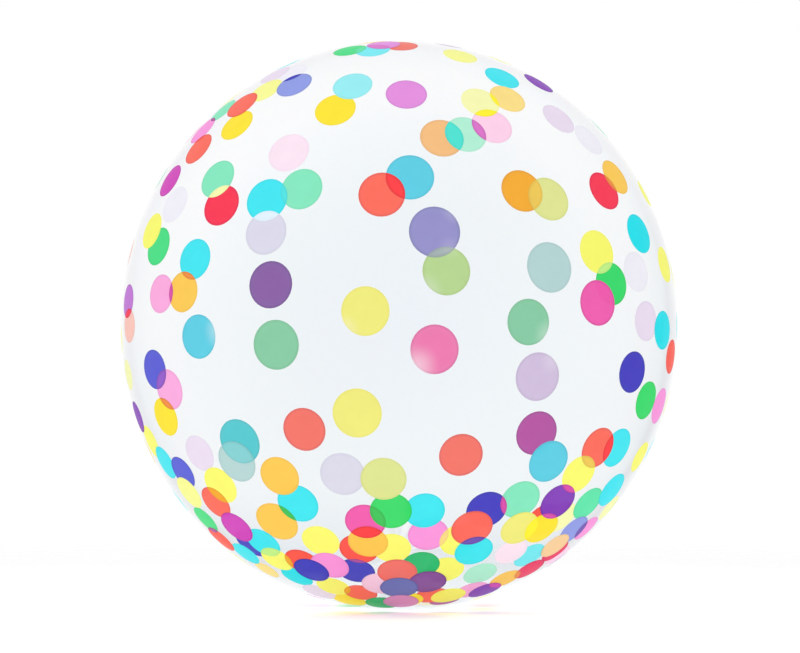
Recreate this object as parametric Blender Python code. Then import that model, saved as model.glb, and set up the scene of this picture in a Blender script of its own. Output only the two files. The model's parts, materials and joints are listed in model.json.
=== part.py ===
"""Clear film bubble balloon, filled and lying on a small flat spot, with its filling tail at the lower back.

Metres, +Z up, the front towards -Y. The origin is on the floor, in the middle of the rest spot.
"""

import math

import bmesh
import bpy
from mathutils import Matrix, Vector

# The film's round body
BALLOON_WIDTH = 0.610
BALLOON_HEIGHT = 0.625
REST_SPOT_RADIUS = 0.034

# The gathered neck, at the lower back, tilted from straight down
NECK_TILT = math.radians(35)
NECK_RADIUS = 0.008
NECK_LENGTH = 0.019
NECK_RISE = 0.006
GATHER_RADIUS = 0.070
THROAT_LENGTH = 0.012
PLEAT_COUNT = 18
PLEAT_DEPTH = 0.0030
PLEAT_CREST_RADIUS = 0.021
PLEAT_FADE_RADIUS = 0.077
NECK_FLUTE_DEPTH = 0.0011

# The filling tail, bunched where it leaves the neck
TAIL_WIDTH = 0.038
TAIL_THICKNESS = 0.0010
TAIL_ROOT_INSET = 0.0010
TAIL_ROOT_THICKNESS = 0.0060
TAIL_FLARE_LENGTH = 0.024
TAIL_BEND_RADIUS = 0.045
TAIL_FLAT_LENGTH = 0.030
TAIL_FLOOR_CLEARANCE = 0.0020
FIT_GAP = 0.0003

# How finely the surfaces are divided, and how steep an edge still looks soft
SEGMENTS_PER_PLEAT = 4
RING_STEP = math.radians(5.0)
FINE_RING_STEP = math.radians(1.3)
FUNNEL_RINGS = 9
TAIL_EDGE_POINTS = 5
TAIL_STRAIGHT_STATIONS = 5
TAIL_BEND_STATIONS = 10
SOFT_EDGE_ANGLE = math.radians(40)

# Shares of form: how long the funnel keeps the round's slope, and how much of its room the tail's bend may take
FUNNEL_PULL = 0.55
BEND_SHARE = 0.85

SEGMENTS = SEGMENTS_PER_PLEAT * PLEAT_COUNT

HALF_WIDTH = BALLOON_WIDTH / 2
HALF_HEIGHT = BALLOON_HEIGHT / 2
SPOT_ANGLE = math.asin(REST_SPOT_RADIUS / HALF_WIDTH)
CENTRE_HEIGHT = HALF_HEIGHT * math.cos(SPOT_ANGLE)

# The neck's axis points down and back, and the other two directions lie across it
NECK_AXIS = Vector((0, math.sin(NECK_TILT), -math.cos(NECK_TILT)))
NECK_SIDE = Vector((1, 0, 0))
NECK_UP = NECK_SIDE.cross(NECK_AXIS)


def reach(direction):
    """How far the round body's surface is from its centre in a direction."""
    across = (direction.x**2 + direction.y**2) / HALF_WIDTH**2
    return 1 / math.sqrt(across + direction.z**2 / HALF_HEIGHT**2)


NECK_REACH = reach(NECK_AXIS)
GATHER_ANGLE = math.asin(GATHER_RADIUS / NECK_REACH)
NECK_START = NECK_REACH + NECK_RISE
NECK_END = NECK_START + NECK_LENGTH


def smooth(share):
    """0 at 0 and 1 at 1, with level ends."""
    share = min(max(share, 0), 1)
    return share * share * (3 - 2 * share)


def material(name, colour, roughness, alpha):
    """A plain see-through film finish."""
    made = bpy.data.materials.new(name)
    made.use_nodes = True
    shader = made.node_tree.nodes["Principled BSDF"]
    shader.inputs["Base Color"].default_value = (*colour, 1)
    shader.inputs["Roughness"].default_value = roughness
    shader.inputs["Metallic"].default_value = 0
    shader.inputs["Alpha"].default_value = alpha
    return made


def add_object(name, bm, finish):
    """One named object from a finished bmesh, shaded smooth but for its sharp edges."""
    bmesh.ops.recalc_face_normals(bm, faces=bm.faces)
    mesh = bpy.data.meshes.new(name)
    bm.to_mesh(mesh)
    bm.free()
    mesh.shade_smooth()
    mesh.set_sharp_from_angle(angle=SOFT_EDGE_ANGLE)
    mesh.materials.append(finish)
    made = bpy.data.objects.new(name, mesh)
    bpy.context.scene.collection.objects.link(made)
    return made


def ring_angles():
    """Angles from the neck's axis, from the gather to the far pole, closer together round the rest spot."""
    angles = []
    angle = GATHER_ANGLE
    fine_from = NECK_TILT - SPOT_ANGLE - FINE_RING_STEP
    fine_to = NECK_TILT + SPOT_ANGLE + FINE_RING_STEP
    while angle < math.pi - RING_STEP / 2:
        angles.append(angle)
        in_fine_band = fine_from - RING_STEP / 2 < angle < fine_to
        angle += FINE_RING_STEP if in_fine_band else RING_STEP
    return angles


def bezier(points, share):
    """A point of a cubic curve."""
    a, b, c, d = points
    rest = 1 - share
    return a * rest**3 + 3 * b * rest**2 * share + 3 * c * rest * share**2 + d * share**3


def pleat(turn, out):
    """How far the gathered film stands out of its plain funnel, at a distance out from the neck's axis."""
    rise = smooth((out - NECK_RADIUS) / (PLEAT_CREST_RADIUS - NECK_RADIUS))
    fall = 1 - smooth((out - PLEAT_CREST_RADIUS) / (PLEAT_FADE_RADIUS - PLEAT_CREST_RADIUS))
    depth = (NECK_FLUTE_DEPTH + (PLEAT_DEPTH - NECK_FLUTE_DEPTH) * rise) * fall
    return depth * math.cos(PLEAT_COUNT * turn)


def meridian(turn):
    """The film's line from the far pole's last ring to the neck's end, as (out, along) from the centre."""
    spoke = NECK_SIDE * math.cos(turn) + NECK_UP * math.sin(turn)
    line = []
    for angle in reversed(ring_angles()):
        size = reach(NECK_AXIS * math.cos(angle) + spoke * math.sin(angle))
        line.append((size * math.sin(angle), size * math.cos(angle)))
    gather_out, gather_along = line[-1]
    gather = Vector((gather_out, gather_along))
    pull = FUNNEL_PULL * (gather_out - NECK_RADIUS)
    curve = [
        gather,
        gather + pull * Vector((-math.cos(GATHER_ANGLE), math.sin(GATHER_ANGLE))),
        Vector((NECK_RADIUS, NECK_START - THROAT_LENGTH)),
        Vector((NECK_RADIUS, NECK_START)),
    ]
    for step in range(1, FUNNEL_RINGS + 1):
        out, along = bezier(curve, step / FUNNEL_RINGS)
        line.append((out, along))
    line.append((NECK_RADIUS, (NECK_START + NECK_END) / 2))
    line.append((NECK_RADIUS, NECK_END))
    return spoke, line


def envelope(finish):
    """The blown film with its gathered neck, closed, and pressed flat where it rests."""
    bm = bmesh.new()
    centre = Vector((0, 0, CENTRE_HEIGHT))
    columns = []
    for segment in range(SEGMENTS):
        turn = math.tau * segment / SEGMENTS
        spoke, line = meridian(turn)
        column = []
        for out, along in line:
            wide = out + pleat(turn, out) if along > 0 else out
            column.append(bm.verts.new(centre + spoke * wide + NECK_AXIS * along))
        columns.append(column)
    for segment, column in enumerate(columns):
        beside = columns[(segment + 1) % SEGMENTS]
        for ring in range(len(column) - 1):
            bm.faces.new((column[ring], column[ring + 1], beside[ring + 1], beside[ring]))
    far_pole = bm.verts.new(centre - NECK_AXIS * NECK_REACH)
    for segment, column in enumerate(columns):
        bm.faces.new((far_pole, column[0], columns[(segment + 1) % SEGMENTS][0]))
    bm.faces.new([column[-1] for column in columns])
    press_flat(bm)
    return add_object("envelope", bm, finish)


def press_flat(bm):
    """Cuts the round off at the floor and closes it with one flat face."""
    bmesh.ops.bisect_plane(
        bm,
        geom=[*bm.verts, *bm.edges, *bm.faces],
        dist=1e-6,
        plane_co=(0, 0, 0),
        plane_no=(0, 0, -1),
        clear_outer=True,
    )
    rim = [edge for edge in bm.edges if edge.is_boundary]
    bmesh.ops.contextual_create(bm, geom=rim)


def tail_path():
    """Stations down the tail's middle, as (place, direction): straight out of the neck, a bend, then flat."""
    neck_end = Vector((0, 0, CENTRE_HEIGHT)) + NECK_AXIS * (NECK_END + FIT_GAP)
    drop = neck_end.z - TAIL_FLOOR_CLEARANCE - TAIL_THICKNESS / 2
    bend = math.pi / 2 - NECK_TILT
    drop_per_radius = 1 - math.cos(bend)
    bend_radius = min(TAIL_BEND_RADIUS, BEND_SHARE * drop / drop_per_radius)
    straight = (drop - bend_radius * drop_per_radius) / math.cos(NECK_TILT)
    stations = []
    for step in range(TAIL_STRAIGHT_STATIONS):
        gone = straight * step / TAIL_STRAIGHT_STATIONS
        stations.append((neck_end + NECK_AXIS * gone, NECK_AXIS))
    bend_start = neck_end + NECK_AXIS * straight
    bend_centre = bend_start + NECK_UP * bend_radius
    for step in range(TAIL_BEND_STATIONS + 1):
        turned = Matrix.Rotation(bend * step / TAIL_BEND_STATIONS, 3, "X")
        arm = turned @ (-NECK_UP * bend_radius)
        stations.append((bend_centre + arm, turned @ NECK_AXIS))
    last_place, last_direction = stations[-1]
    stations.append((last_place + last_direction * TAIL_FLAT_LENGTH, last_direction))
    return stations


def tail_section(width, thickness):
    """A flattened tube's outline, as (across, up): two level sides with round ends."""
    level = (width - thickness) / 2
    outline = []
    for side in (1, -1):
        for step in range(TAIL_EDGE_POINTS):
            turn = math.pi * step / (TAIL_EDGE_POINTS - 1)
            across = side * (level + math.sin(turn) * thickness / 2)
            outline.append((across, -side * math.cos(turn) * thickness / 2))
    return outline


def valve_tail(finish):
    """The flat filling tail, bunched at the neck and flared to its full width."""
    bm = bmesh.new()
    rings = []
    root_width = 2 * (NECK_RADIUS - TAIL_ROOT_INSET)
    travelled = 0
    stations = tail_path()
    for index, (place, direction) in enumerate(stations):
        if index:
            travelled += (place - stations[index - 1][0]).length
        flare = smooth(travelled / TAIL_FLARE_LENGTH)
        width = root_width + (TAIL_WIDTH - root_width) * flare
        thickness = TAIL_ROOT_THICKNESS + (TAIL_THICKNESS - TAIL_ROOT_THICKNESS) * flare
        above = NECK_SIDE.cross(direction)
        section = tail_section(width, thickness)
        rings.append([bm.verts.new(place + NECK_SIDE * across + above * up) for across, up in section])
    for ring, following in zip(rings, rings[1:]):
        for point in range(len(ring)):
            beside = (point + 1) % len(ring)
            bm.faces.new((ring[point], ring[beside], following[beside], following[point]))
    bm.faces.new(rings[0])
    bm.faces.new(rings[-1])
    return add_object("valve_tail", bm, finish)


def build():
    """The whole balloon, in an empty scene."""
    for old in list(bpy.data.objects):
        bpy.data.objects.remove(old, do_unlink=True)
    envelope(material("clear_film", (0.90, 0.94, 0.98), 0.12, 0.25))
    valve_tail(material("tail_film", (0.93, 0.95, 0.97), 0.25, 0.45))


build()
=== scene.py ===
"""A clear film balloon printed with confetti dots: its film, inks, gathered neck and stage.

Metres, +Z up, the front towards -Y, the neck and the filling tail towards +Y.
"""

import json
import math

import bmesh
import bpy
from bpy.props import FloatProperty, FloatVectorProperty, IntProperty, PointerProperty
from bpy.types import Operator, Panel, PropertyGroup
from mathutils import Matrix, Vector

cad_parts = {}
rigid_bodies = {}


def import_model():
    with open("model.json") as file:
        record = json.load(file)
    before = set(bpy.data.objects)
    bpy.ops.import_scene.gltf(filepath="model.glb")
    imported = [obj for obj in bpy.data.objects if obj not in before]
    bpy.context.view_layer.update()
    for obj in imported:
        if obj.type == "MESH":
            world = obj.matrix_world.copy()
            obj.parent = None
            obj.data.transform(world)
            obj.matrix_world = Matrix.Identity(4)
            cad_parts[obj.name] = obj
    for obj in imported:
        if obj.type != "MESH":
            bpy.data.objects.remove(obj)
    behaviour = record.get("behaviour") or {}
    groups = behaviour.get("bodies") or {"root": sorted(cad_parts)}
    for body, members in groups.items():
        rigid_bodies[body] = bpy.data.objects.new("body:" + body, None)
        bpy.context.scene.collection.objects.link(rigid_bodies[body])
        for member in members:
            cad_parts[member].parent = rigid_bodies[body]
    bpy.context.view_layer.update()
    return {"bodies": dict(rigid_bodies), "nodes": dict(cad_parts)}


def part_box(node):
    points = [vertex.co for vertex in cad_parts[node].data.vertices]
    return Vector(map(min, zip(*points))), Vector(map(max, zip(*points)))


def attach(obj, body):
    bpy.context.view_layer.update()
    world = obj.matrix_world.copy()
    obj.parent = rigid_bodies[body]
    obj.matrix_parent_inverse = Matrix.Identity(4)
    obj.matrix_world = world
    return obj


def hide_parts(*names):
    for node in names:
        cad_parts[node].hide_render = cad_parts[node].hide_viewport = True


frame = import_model()

bl_info = {
    "name": "Clear confetti-dot balloon",
    "version": (1, 0, 0),
    "blender": (4, 5, 0),
    "location": "3D View > Sidebar > Balloon",
    "description": "Makes the film, the printed dots, the neck and the stage of a clear balloon",
    "category": "Add Mesh",
}

BODY = "root"
FILM_SLOT = "clear_film"
TAIL_SLOT = "tail_film"
INK_SLOT = "dot_inks"

# The round body, from the solid that the film stands for
ENVELOPE_LOW, ENVELOPE_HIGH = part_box("envelope")
REST_SPOT_RADIUS = 0.034
HALF_WIDTH = (ENVELOPE_HIGH.x - ENVELOPE_LOW.x) / 2
SPOT_ANGLE = math.asin(REST_SPOT_RADIUS / HALF_WIDTH)
HALF_HEIGHT = ENVELOPE_HIGH.z / (1 + math.cos(SPOT_ANGLE))
CENTRE = Vector((0, 0, HALF_HEIGHT * math.cos(SPOT_ANGLE)))

# The gathered neck and the tail, at the solids' sizes
NECK_TILT = math.radians(35)
NECK_RADIUS = 0.008
NECK_LENGTH = 0.019
NECK_RISE = 0.006
GATHER_RADIUS = 0.070
THROAT_LENGTH = 0.012
FUNNEL_PULL = 0.55
TAIL_WIDTH = 0.038
TAIL_THICKNESS = 0.0010
TAIL_FLARE_LENGTH = 0.024
TAIL_BEND_RADIUS = 0.045
TAIL_FLAT_LENGTH = 0.030
TAIL_FLOOR_CLEARANCE = 0.0020
BEND_SHARE = 0.85

NECK_AXIS = Vector((0, math.sin(NECK_TILT), -math.cos(NECK_TILT)))
NECK_SIDE = Vector((1, 0, 0))
NECK_UP = NECK_SIDE.cross(NECK_AXIS)

# The photograph's frame: the balloon's middle plane in it, and where the eye is
FRAME_WIDTH_PX = 800
FRAME_HEIGHT_PX = 653
BALLOON_CENTRE_PX = Vector((399.1, 325.7))
BALLOON_HALF_WIDTH_PX = 277.4
METRES_PER_PX = HALF_WIDTH / BALLOON_HALF_WIDTH_PX
LENS_MM = 200
SENSOR_MM = 36
EYE_DISTANCE = FRAME_WIDTH_PX * METRES_PER_PX * LENS_MM / SENSOR_MM

MM = 0.001


# The settings

# How each ink looks over the white-lit film, as a screen shows it
INKS = {
    "scarlet": (252, 72, 77),
    "crimson": (247, 66, 95),
    "cherry": (232, 62, 108),
    "flame": (241, 146, 76),
    "red": (250, 92, 84),
    "coral": (250, 114, 102),
    "soft_red": (241, 121, 113),
    "salmon": (248, 196, 187),
    "peach": (243, 190, 134),
    "pale_peach": (246, 208, 158),
    "orange": (244, 173, 67),
    "mustard": (238, 201, 92),
    "amber": (250, 202, 93),
    "straw": (250, 222, 140),
    "gold": (251, 228, 69),
    "sun": (253, 241, 70),
    "lemon": (249, 248, 116),
    "pale_lemon": (247, 248, 150),
    "cream": (246, 247, 179),
    "soft_yellow": (240, 235, 128),
    "olive": (222, 228, 148),
    "olive_green": (185, 214, 147),
    "lime": (194, 240, 138),
    "grass": (73, 196, 96),
    "green": (72, 218, 112),
    "emerald": (80, 221, 136),
    "leaf": (63, 189, 119),
    "sea_green": (140, 204, 166),
    "jade": (104, 228, 172),
    "mint": (138, 232, 192),
    "pale_mint": (178, 238, 212),
    "turquoise": (84, 227, 211),
    "teal": (97, 202, 208),
    "sea_mist": (136, 208, 211),
    "grey_teal": (182, 213, 212),
    "smoke": (166, 179, 180),
    "ice": (226, 242, 252),
    "aqua": (88, 227, 228),
    "sky": (100, 206, 227),
    "cyan": (74, 229, 240),
    "deep_cyan": (52, 226, 236),
    "light_cyan": (122, 234, 243),
    "pale_cyan": (154, 237, 242),
    "periwinkle": (147, 160, 229),
    "blue": (79, 78, 192),
    "cobalt": (98, 104, 214),
    "slate": (118, 125, 188),
    "lilac": (151, 149, 202),
    "lavender": (208, 192, 221),
    "pale_lavender": (233, 221, 239),
    "mist": (239, 238, 247),
    "grey_lavender": (218, 217, 233),
    "indigo": (117, 88, 184),
    "amethyst": (152, 98, 203),
    "violet": (136, 76, 186),
    "heather": (192, 118, 212),
    "aubergine": (141, 92, 160),
    "plum": (140, 106, 168),
    "raspberry": (181, 97, 166),
    "magenta": (209, 80, 188),
    "fuchsia": (221, 86, 176),
    "mauve": (222, 154, 200),
    "orchid": (226, 147, 223),
    "peony": (221, 120, 203),
    "hot_pink": (239, 100, 176),
    "rose": (236, 130, 179),
    "pink": (248, 152, 221),
    "light_pink": (249, 172, 223),
    "dusty_pink": (246, 207, 229),
    "blush": (252, 209, 234),
    "pale_pink": (250, 228, 243),
}


def ink_colour(ink, seen):
    """A user's colour for one ink."""
    title = ink.replace("_", " ")
    return FloatVectorProperty(
        name=title.capitalize(),
        description=f"How the {title} ink looks over the film",
        subtype="COLOR_GAMMA",
        size=3,
        min=0,
        max=1,
        default=tuple(value / 255 for value in seen),
    )


def length_setting(name, description, default, low, high):
    """A user's length in metres."""
    return FloatProperty(
        name=name, description=description, default=default, min=low, max=high, unit="LENGTH"
    )


def share_setting(name, description, default, low=0):
    """A user's share of a whole."""
    return FloatProperty(
        name=name, description=description, default=default, min=low, max=1, subtype="FACTOR"
    )


def strength_setting(name, description, default, high):
    """A user's strength, from nothing up."""
    return FloatProperty(name=name, description=description, default=default, min=0, max=high)


def count_setting(name, description, default, low, high):
    """A user's whole number."""
    return IntProperty(name=name, description=description, default=default, min=low, max=high)


class BalloonInks(PropertyGroup):
    """The colours of the printing inks."""

    __annotations__ = {ink: ink_colour(ink, seen) for ink, seen in INKS.items()}


class BalloonPrint(PropertyGroup):
    """The sizes of the printed dots."""

    dot_diameter: length_setting("Dot diameter", "Across a printed dot, along the film", 0.0505, 0.01, 0.1)
    print_gap: length_setting("Print gap", "From the film to the first ink on it", 0.0002, 0.00005, 0.001)
    ink_step: length_setting(
        "Ink step", "From one ink to the next that is printed over it", 0.0001, 0.00002, 0.0005
    )
    dot_sides: count_setting("Dot sides", "Straight sides round a dot's edge", 32, 12, 64)
    ink_cover: share_setting("Ink cover", "How much of what is behind an ink it hides", 0.98, 0.3)


class BalloonFilm(PropertyGroup):
    """The sizes and the look of the film."""

    film_cover: share_setting(
        "Film cover", "How much of what is behind one wall of the film it hides", 0.16, 0.02
    )
    tail_cover: share_setting(
        "Tail cover", "How much of what is behind one wall of the tail it hides", 0.34, 0.02
    )
    film_roughness: share_setting("Film roughness", "How soft the reflections on the film are", 0.12)
    pleat_depth: length_setting(
        "Pleat depth", "How far the gathered film's pleats stand out beside the neck", 0.0030, 0, 0.006
    )
    rib_spacing: length_setting(
        "Rib spacing", "Between the fine ribs across the tail's welds", 0.0020, 0.0006, 0.005
    )
    pleats: count_setting("Pleats", "Pleats round the neck", 18, 8, 40)


class BalloonStage(PropertyGroup):
    """The floor and the lights."""

    floor_radius: length_setting(
        "Floor radius", "From the balloon to where the floor has faded out", 1.5, 0.6, 5
    )
    floor_glow: strength_setting(
        "Floor glow", "How much light the floor gives of itself under the balloon", 0.33, 2
    )
    glow_radius: length_setting(
        "Glow radius", "From under the balloon to where the floor gives no more light of itself", 1.1, 0.1, 2
    )
    sky_strength: strength_setting("Surroundings", "How bright the white surroundings are", 1.0, 3)
    light_share: strength_setting(
        "Lamps", "How strong the soft lamps are, against their usual strength", 1.0, 5
    )


# The inks' places

# The film's two walls, by which way they face along Y
NEAR = -1
FAR = 1


def near(right, up, level=0, size=1.0):
    """A near dot: its place on the middle plane in millimetres, its level over other dots, and its size."""
    return right, up, level, size


DOTS = {
    "coral": [
        near(-172, 242, 1), near(-220, 194), near(-19, 144, 1), near(218, -134, 1, 1.04),
        near(-201, -194, 0, 0.96), near(36, -296, 3), near(-42, -293, 1, 0.92), near(80, -222, 2),
    ],
    "soft_red": [near(2, 307), near(-104, -114, 0, 0.95), near(68, -142, 0, 0.96), near(-2, -270, 4)],
    "red": [
        near(-44, -245, 1, 0.95), near(158, -213, -1), near(-106, -259, 1, 0.97), near(298, -34),
        near(-195, -234, 1),
    ],
    "crimson": [near(-195, 132), near(225, 148, 0, 1.02)],
    "cherry": [near(143, -267, 1, 0.97), near(171, -247, 1, 0.9)],
    "salmon": [near(-296, 0, 0, 0.95)],
    "peach": [near(47, 206)],
    "pale_peach": [near(171, -241, 2, 0.92)],
    "orange": [near(135, 148)],
    "amber": [
        near(237, 163, 1, 1.02), near(-131, -165, 2, 0.95), near(-237, 37, 1, 0.95),
        near(-134, -215, 0, 1.11), near(-34, -237, 3, 0.95), near(116, -278, 0, 0.96),
    ],
    "straw": [near(119, 249, 0, 0.97), near(-145, -268, 0, 0.8)],
    "gold": [near(-178, 220), near(-70, 237), near(-256, -100), near(156, -222, 1, 0.96), near(-54, -301)],
    "lemon": [
        near(217, 81, 1, 1.02), near(291, 67, 0, 1.04), near(-271, 104, 1), near(-196, -175, 1),
        near(197, -163, 1), near(-86, -236, 1, 0.94), near(-8, -244, 2, 0.92), near(67, -235),
        near(-134, -256, 2, 0.94), near(-72, -286, 2, 0.96), near(50, -268), near(54, -296, 4),
        near(-272, -127), near(264, -144, 0, 0.95), near(269, 145, 0, 0.88),
    ],
    "sun": [near(7, -300, 4)],
    "pale_lemon": [near(-146, 258), near(67, 296), near(-230, -183, 1)],
    "cream": [
        near(89, 245, 1, 0.97), near(177, -210, -1, 0.96), near(230, -200, -1, 0.9),
        near(-297, -54, 0, 0.92),
    ],
    "soft_yellow": [near(-37, 16), near(-46, -96, 0, 1.04), near(132, -222, 1)],
    "olive": [near(164, 139, 1, 1.04), near(-17, -168, 3)],
    "olive_green": [near(52, 60)],
    "green": [near(233, 46), near(271, -82, 0, 1.02), near(-9, -203, 2, 0.94)],
    "emerald": [near(-54, 302), near(-264, 87), near(-212, -213, 0, 0.94)],
    "leaf": [near(24, -262, 1, 0.93), near(-18, -304, 3)],
    "jade": [near(207, -195)],
    "sea_green": [near(-135, -21, 0, 1.04), near(142, 4, 0, 0.97)],
    "mint": [near(-199, 161, 1), near(-107, 150, 0, 0.96), near(-193, 236, 0, 0.93), near(133, -191)],
    "pale_mint": [near(73, 210, 1, 0.97), near(89, -272, 1, 0.92)],
    "teal": [near(-175, -127, 0, 1.06)],
    "grey_teal": [near(165, 64, 0, 1.1), near(-178, -149, 1, 1.02)],
    "sky": [near(12, 163, 0, 1.05), near(-220, -12), near(164, -149, 1, 1.02)],
    "cyan": [
        near(-145, 138, 1), near(113, 272, -1), near(239, -134, 0, 1.05), near(-224, 73, 0, 0.96),
        near(-256, -150), near(-111, -195, 1), near(-149, -238), near(-168, -250, 0, 0.92),
        near(28, -203, 1, 0.92), near(233, -180, 0, 1.06), near(82, -247, 1, 0.97),
    ],
    "deep_cyan": [near(263, 101, 0, 1.06), near(289, -5, 1, 1.04), near(-112, -275, 0, 0.94)],
    "light_cyan": [near(-29, 302), near(143, -252, -1, 0.93)],
    "pale_cyan": [near(-51, 263, 1)],
    "periwinkle": [near(-115, 264, 1), near(191, -224)],
    "blue": [
        near(256, -51, 0, 1.02), near(96, -202, 1, 0.98), near(-96, -268, 3, 0.97),
        near(-47, -269, 0, 0.96), near(-162, -239, -1),
    ],
    "cobalt": [near(-268, -48, 1), near(-237, -161, 0, 0.94)],
    "slate": [near(0, -287, 5)],
    "lilac": [near(39, 103, 1, 1.08)],
    "lavender": [near(152, -56, 0, 1.04)],
    "pale_lavender": [
        near(175, 227), near(271, 5), near(-88, -292), near(-136, 275, -1, 0.97),
        near(-219, -140, -1, 0.93),
    ],
    "mist": [near(-118, 277, -2, 0.95), near(208, 204), near(-246, 133), near(260, 59)],
    "grey_lavender": [near(-146, 102, 2, 0.98), near(-62, -163)],
    "violet": [near(153, 266), near(174, -193, 2), near(94, -290, 2), near(-286, -100, 0, 0.97)],
    "heather": [near(-297, 27, 0, 0.96)],
    "aubergine": [near(31, -281, 4)],
    "plum": [near(-141, 45)],
    "raspberry": [near(151, -118), near(50, -301, 0, 0.9)],
    "magenta": [near(-251, 159), near(-178, -221, 1)],
    "orchid": [near(8, 254), near(-17, 308)],
    "hot_pink": [near(218, 25, 1, 1.03), near(-37, -215, 0, 0.94)],
    "rose": [near(39, -26)],
    "pink": [
        near(-215, 214), near(285, -88, 1, 1.05), near(32, -229, 0, 0.95), near(-76, -263, 2),
        near(205, -222, 1, 0.9),
    ],
    "light_pink": [near(-261, 35, 0, 0.95), near(-252, -70), near(80, -290, 1)],
    "dusty_pink": [near(-20, -283, 3)],
    "blush": [near(102, 219), near(174, -252, 0, 0.9)],
    "pale_pink": [near(-121, 190), near(123, -248, 0, 0.9)],
    "mauve": [near(2, -302, 6)],
}

# Where two near dots overlap, the print is a third colour, named here by a place inside the overlap
OVERPRINTS = {
    "scarlet": [near(-4, 151), near(229, -134), near(-35, -227)],
    "red": [near(-219, 205)],
    "crimson": [near(-297, 13)],
    "flame": [near(233, 156), near(-231, 56), near(129, -273), near(-257, -84)],
    "orange": [near(-198, -186), near(-120, -260), near(-57, -290)],
    "mustard": [near(149, 144), near(207, -149)],
    "straw": [near(50, -233)],
    "sun": [near(97, 235), near(103, 249), near(144, -221)],
    "cream": [near(-197, 147)],
    "lime": [near(226, 62), near(-143, -248)],
    "grass": [near(-123, -205), near(-24, -209)],
    "turquoise": [near(60, 207)],
    "aqua": [near(-126, 144)],
    "jade": [near(-41, 302)],
    "blue": [near(-112, 273)],
    "ice": [near(-145, 120)],
    "smoke": [near(48, 83)],
    "sea_mist": [near(-177, -140)],
    "peony": [near(87, 214), near(-22, 305)],
    "fuchsia": [near(187, -180), near(166, -209), near(-250, 36), near(116, -197)],
    "indigo": [near(82, -236), near(198, -223)],
    "amethyst": [near(-261, -60)],
    "raspberry": [near(-202, -225), near(-46, -257), near(-204, 226)],
    "magenta": [near(104, -286)],
}

# The far wall's dots are straight behind the near wall's, a little smaller, with the inks of other near dots
TWIN_SIZE = 0.94
RIM_TWIN_SIZE = 0.86
RIM_FROM = 0.93
TWIN_INK_STEP = 31
TWIN_ROOM = 0.8

# Dots between the two walls, which the front view sees only edge on
LIMB_COUNT = 26
LIMB_ANGLE = math.acos(HALF_WIDTH / EYE_DISTANCE)
LIMB_WANDER = math.radians(0.3)
LIMB_SIZE = 0.94
LIMB_UNEVENNESS = 0.25
LIMB_ROOM = 0.97
LIMB_INKS = ("pale_cyan", "cream", "blush", "pale_mint", "salmon", "pale_lemon", "lavender", "straw")

# Painted highlights, soft patches where a dot is painted paler as if a soft lamp shone back from it: the
# place, how far the patch reaches, and how pale its middle is
PAINTED_HIGHLIGHTS = (
    (near(20, -44), 0.026, 0.42),
    (near(-198, -5), 0.024, 0.35),
    (near(63, 127), 0.020, 0.18),
    (near(56, 86), 0.016, 0.10),
    (near(28, 37), 0.024, 0.30),
    (near(165, -11), 0.022, 0.30),
    (near(169, -38), 0.020, 0.18),
    (near(-60, -5), 0.020, 0.25),
)


# Where the dots lie on the film


class Dot:
    """One printed dot in its wall's flat print plane, whose unit is an angle at the balloon's centre."""

    def __init__(self, ink, wall, place, radius, level):
        self.ink = ink
        self.wall = wall
        self.place = place
        self.radius = radius
        self.level = level
        self.layer = 0

    def direction(self):
        """Which way the dot's middle lies from the balloon's centre."""
        return wall_direction(self.wall, self.place)

    def meets(self, other):
        """True if two dots overlap on one wall."""
        if self.wall != other.wall:
            return False
        return (self.place - other.place).length < self.radius + other.radius

    def covers(self, wall, place):
        """True if a place is inside the dot."""
        return self.wall == wall and (self.place - place).length < self.radius

    def is_within(self, other, share):
        """True if two dots on any walls are closer together than a share of their radii."""
        return self.direction().angle(other.direction()) < share * (self.radius + other.radius)

    def lies_free(self):
        """True if the dot is clear of the gathered film and of the rest spot."""
        from_neck = self.direction().angle(NECK_AXIS)
        from_spot = self.direction().angle(Vector((0, 0, -1)))
        return from_neck > GATHER_ANGLE + self.radius and from_spot > SPOT_ANGLE + self.radius


def wall_direction(wall, place):
    """Which way a place in a wall's print plane lies from the balloon's centre."""
    angle = place.length
    aside = place.normalized() * math.sin(angle)
    return Vector((aside.x, wall * math.cos(angle), aside.y))


def print_place(wall, right, up):
    """The place in a wall's print plane that is seen at a place on the middle plane, both from the middle."""
    eye = EYE_DISTANCE / HALF_WIDTH
    across = right / HALF_WIDTH
    above = up / HALF_HEIGHT
    sight = across**2 + above**2 + eye**2
    inside = max(eye**4 - sight * (eye**2 - 1), 0)
    gone = (eye**2 + wall * math.sqrt(inside)) / sight
    unit = Vector((gone * across, (gone - 1) * eye, gone * above)).normalized()
    angle = math.acos(min(max(wall * unit.y, -1), 1))
    return Vector((unit.x, unit.z)).normalized() * angle


def printed_dot(dot_diameter, ink, wall, right, up, level, size):
    """A dot by where its middle is seen on the middle plane in millimetres."""
    radius = size * dot_diameter / 2 / HALF_WIDTH
    outward = MM / math.cos(radius)
    return Dot(ink, wall, print_place(wall, right * outward, up * outward), radius, level)


def limb_dots(dot_diameter, others):
    """Dots round the limb, unevenly spaced, where there is room for them."""
    radius = LIMB_SIZE * dot_diameter / 2 / HALF_WIDTH
    found = []
    for number in range(LIMB_COUNT):
        turn = math.tau * (number + LIMB_UNEVENNESS * math.sin(5 * number)) / LIMB_COUNT
        angle = LIMB_ANGLE + LIMB_WANDER * math.sin(3 * number)
        place = Vector((math.cos(turn), math.sin(turn))) * angle
        dot = Dot(LIMB_INKS[number % len(LIMB_INKS)], NEAR, place, radius, 0)
        if dot.lies_free() and not any(dot.is_within(other, LIMB_ROOM) for other in others):
            found.append(dot)
    return found


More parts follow.
